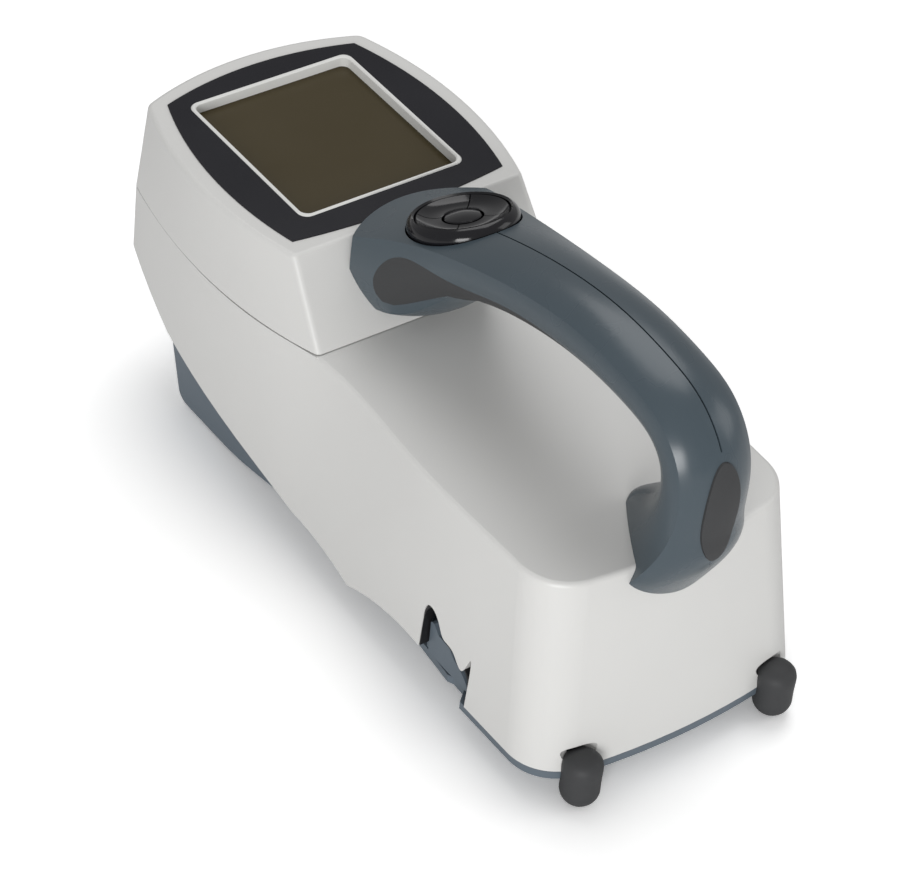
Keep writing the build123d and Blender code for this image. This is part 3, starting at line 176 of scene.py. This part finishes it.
finishes = {
    "case_white": case_white, "frame_white": frame_white, "handle_blue_grey": handle_paint,
    "base_blue_grey": base_paint, "rubber_dark": rubber, "key_black": gloss_black,
    "bezel_black": bezel_black, "lcd_dark": lcd_dark, "board_green": board_green,
    "inner_black": inner_black, "film_cable": film, "lens_glass": glass, "steel_part": steel,
    "aluminium_part": aluminium, "cell_wrap": wrap,
}
for subpart in frame["record"]["subparts"]:
    node = nodes[subpart["node"]]
    node.data.materials.clear()
    node.data.materials.append(finishes[subpart["material_slot"]])


# Painted shade inside the two notches: a black band for the shadow in the gap at each notch's edge,
# its corners as side views in metres from the rear end to the front end
notch_corners = [(-0.0562, 0.0160), (-0.0562, 0.0284), (-0.0593, 0.0332), (-0.0634, 0.0304),
                 (-0.0664, 0.0266), (-0.0720, 0.0252), (-0.0776, 0.0233), (-0.0805, 0.0185),
                 (-0.0805, 0.0122)]
shade_band_steps = 6
shade_band_into_wall = 0.0002
shade_band_thickness = 0.0005
shade_band_recess = 0.00025
shade_band_depth = 0.0034
shade_band_probe = 0.0006
case_reach = 0.08


def smooth_path(corners, steps):
    """Points on a curve through all corners."""
    points = []
    for i in range(len(corners) - 1):
        before = Vector(corners[max(i - 1, 0)])
        start = Vector(corners[i])
        end = Vector(corners[i + 1])
        after = Vector(corners[min(i + 2, len(corners) - 1)])
        for step in range(steps):
            t = step / steps
            points.append(0.5 * (2 * start + (end - before) * t
                                 + (2 * before - 5 * start + 4 * end - after) * t ** 2
                                 + (3 * start - before - 3 * end + after) * t ** 3))
    points.append(Vector(corners[-1]))
    return points


def world_tree_of(item):
    """Ray tree of an object's faces in world space."""
    places = [item.matrix_world @ vertex.co for vertex in item.data.vertices]
    return BVHTree.FromPolygons(places, [tuple(face.vertices) for face in item.data.polygons])


def notch_painted_shade(name, side, case_tree):
    """Black band of painted shade along a notch's edge, set a little back from the case's outer
    face.
    """
    path = smooth_path(notch_corners, shade_band_steps)
    rows = []
    outer = None
    for i, point in enumerate(path):
        along = (path[min(i + 1, len(path) - 1)] - path[max(i - 1, 0)]).normalized()
        inward = Vector((-along.y, along.x))
        outside = point - shade_band_probe * inward
        start = Vector((side * case_reach, outside.x, outside.y))
        hit = case_tree.ray_cast(start, Vector((-side, 0, 0)), case_reach)[0]
        if hit is not None and side * hit.x > case_reach / 2:
            outer = hit.x
        if outer is None:
            continue
        faces_x = (outer - side * shade_band_recess, outer - side * shade_band_depth)
        wall_side = point - shade_band_into_wall * inward
        open_side = point + shade_band_thickness * inward
        rows.append([(faces_x[0], wall_side.x, wall_side.y), (faces_x[0], open_side.x, open_side.y),
                     (faces_x[1], open_side.x, open_side.y), (faces_x[1], wall_side.x, wall_side.y)])
    count = len(rows[0])
    places = [place for row in rows for place in row]
    faces = [(count * i + j, count * i + (j + 1) % count, count * (i + 1) + (j + 1) % count,
              count * (i + 1) + j) for i in range(len(rows) - 1) for j in range(count)]
    faces.append(tuple(range(count)))
    faces.append(tuple(range(count * (len(rows) - 1), count * len(rows))))
    mesh = bpy.data.meshes.new(name)
    mesh.from_pydata(places, [], faces)
    shape = bmesh.new()
    shape.from_mesh(mesh)
    bmesh.ops.recalc_face_normals(shape, faces=shape.faces)
    shape.to_mesh(mesh)
    shape.free()
    # Painted shade: the inner parts' black stands in for the shadow in the gap at the notch's edge
    mesh.materials.append(inner_black)
    piece = bpy.data.objects.new(name, mesh)
    scene.collection.objects.link(piece)
    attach(piece, "instrument")


# Bumper feet: half outline in metres as radius and height, from the ground to the tip
foot_outline = [(0.0022, 0.0), (0.00337, 0.0005), (0.00438, 0.00124), (0.00518, 0.00222),
                (0.00576, 0.00335), (0.00607, 0.00457), (0.00607, 0.00583), (0.00602, 0.0075),
                (0.00602, 0.0095), (0.00608, 0.0115), (0.00616, 0.0132), (0.00612, 0.0146),
                (0.00580, 0.0158), (0.00505, 0.0168), (0.00385, 0.0176), (0.0023, 0.01805)]
foot_tip = 0.0182
foot_sides = 48


def bumper_foot(name, node_name):
    """Rubber foot turned from its outline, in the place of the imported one."""
    packed = nodes[node_name]
    corners = [packed.matrix_world @ Vector(corner) for corner in packed.bound_box]
    middle_x = sum(corner.x for corner in corners) / len(corners)
    middle_y = sum(corner.y for corner in corners) / len(corners)
    ground = min(corner.z for corner in corners)
    places = [(middle_x, middle_y, ground)]
    for radius, height in foot_outline:
        for i in range(foot_sides):
            angle = 2 * math.pi * i / foot_sides
            places.append((middle_x + radius * math.cos(angle), middle_y + radius * math.sin(angle),
                           ground + height))
    places.append((middle_x, middle_y, ground + foot_tip))
    faces = []
    for i in range(foot_sides):
        following = (i + 1) % foot_sides
        faces.append((0, 1 + following, 1 + i))
        for ring in range(len(foot_outline) - 1):
            low = 1 + ring * foot_sides
            high = low + foot_sides
            faces.append((low + i, low + following, high + following, high + i))
        last = 1 + (len(foot_outline) - 1) * foot_sides
        faces.append((last + i, last + following, len(places) - 1))
    mesh = bpy.data.meshes.new(name)
    mesh.from_pydata(places, [], faces)
    mesh.shade_smooth()
    mesh.materials.append(rubber)
    piece = bpy.data.objects.new(name, mesh)
    scene.collection.objects.link(piece)
    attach(piece, "instrument")
    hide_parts(node_name)


bumper_foot("bumper_left", "bumper_foot_left")
bumper_foot("bumper_right", "bumper_foot_right")

case_tree = world_tree_of(nodes["main_shell"])
# Painted shade bands in both notches, black where their gaps lie in shadow
notch_painted_shade("notch_painted_shade_left", -1, case_tree)
notch_painted_shade("notch_painted_shade_right", 1, case_tree)


# Floor, lamps and world
floor_bounce = 0.82
floor_seen = 1.4
floor_half = 6.0
floor_gap = 0.0002
ambient_strength = 0.4
lamp_target = Vector((0, 0, 0.07))


def stage_material():
    """Pale floor that the camera sees as white where no shadow falls."""
    material, tree, shader, place = new_material("floor_white")
    shader.inputs["Base Color"].default_value = (floor_bounce, floor_bounce, floor_bounce, 1)
    shader.inputs["Roughness"].default_value = 0.9
    seen_floor = tree.nodes.new("ShaderNodeBsdfDiffuse")
    seen_floor.inputs["Color"].default_value = (floor_seen, floor_seen, floor_seen, 1)
    path = tree.nodes.new("ShaderNodeLightPath")
    both = tree.nodes.new("ShaderNodeMixShader")
    tree.links.new(path.outputs["Is Camera Ray"], both.inputs["Fac"])
    tree.links.new(shader.outputs[0], both.inputs[1])
    tree.links.new(seen_floor.outputs[0], both.inputs[2])
    tree.links.new(both.outputs[0], tree.nodes["Material Output"].inputs["Surface"])
    return material


floor_mesh = bpy.data.meshes.new("floor")
floor_mesh.from_pydata([(-floor_half, -floor_half, 0), (floor_half, -floor_half, 0),
                        (floor_half, floor_half, 0), (-floor_half, floor_half, 0)],
                       [], [(0, 1, 2, 3)])
floor = bpy.data.objects.new("floor", floor_mesh)
scene.collection.objects.link(floor)
floor.location.z = -floor_gap
floor_mesh.materials.append(stage_material())

world = bpy.data.worlds.new("studio")
scene.world = world
world.use_nodes = True
world_tree = world.node_tree
ambient = world_tree.nodes["Background"]
ambient.inputs["Color"].default_value = (1, 1, 1, 1)
ambient.inputs["Strength"].default_value = ambient_strength
backdrop = world_tree.nodes.new("ShaderNodeBackground")
backdrop.inputs["Strength"].default_value = 1.0
seen = world_tree.nodes.new("ShaderNodeLightPath")
pick = world_tree.nodes.new("ShaderNodeMixShader")
world_tree.links.new(seen.outputs["Is Camera Ray"], pick.inputs["Fac"])
world_tree.links.new(ambient.outputs[0], pick.inputs[1])
world_tree.links.new(backdrop.outputs[0], pick.inputs[2])
world_tree.links.new(pick.outputs[0], world_tree.nodes["World Output"].inputs["Surface"])


def softbox(name, place, size, power):
    """A square area lamp that looks at the middle of the object."""
    lamp = bpy.data.lights.new(name, "AREA")
    lamp.size = size
    lamp.energy = power
    holder = bpy.data.objects.new(name, lamp)
    scene.collection.objects.link(holder)
    holder.location = place
    aim = lamp_target - Vector(place)
    holder.rotation_euler = aim.to_track_quat("-Z", "Y").to_euler()


softbox("key_lamp", (0.5, 0.6, 1.6), 1.2, 11)
softbox("front_lamp", (-1.15, -1.35, 0.5), 0.8, 20)
softbox("side_lamp", (1.4, -0.8, 0.8), 0.8, 3)
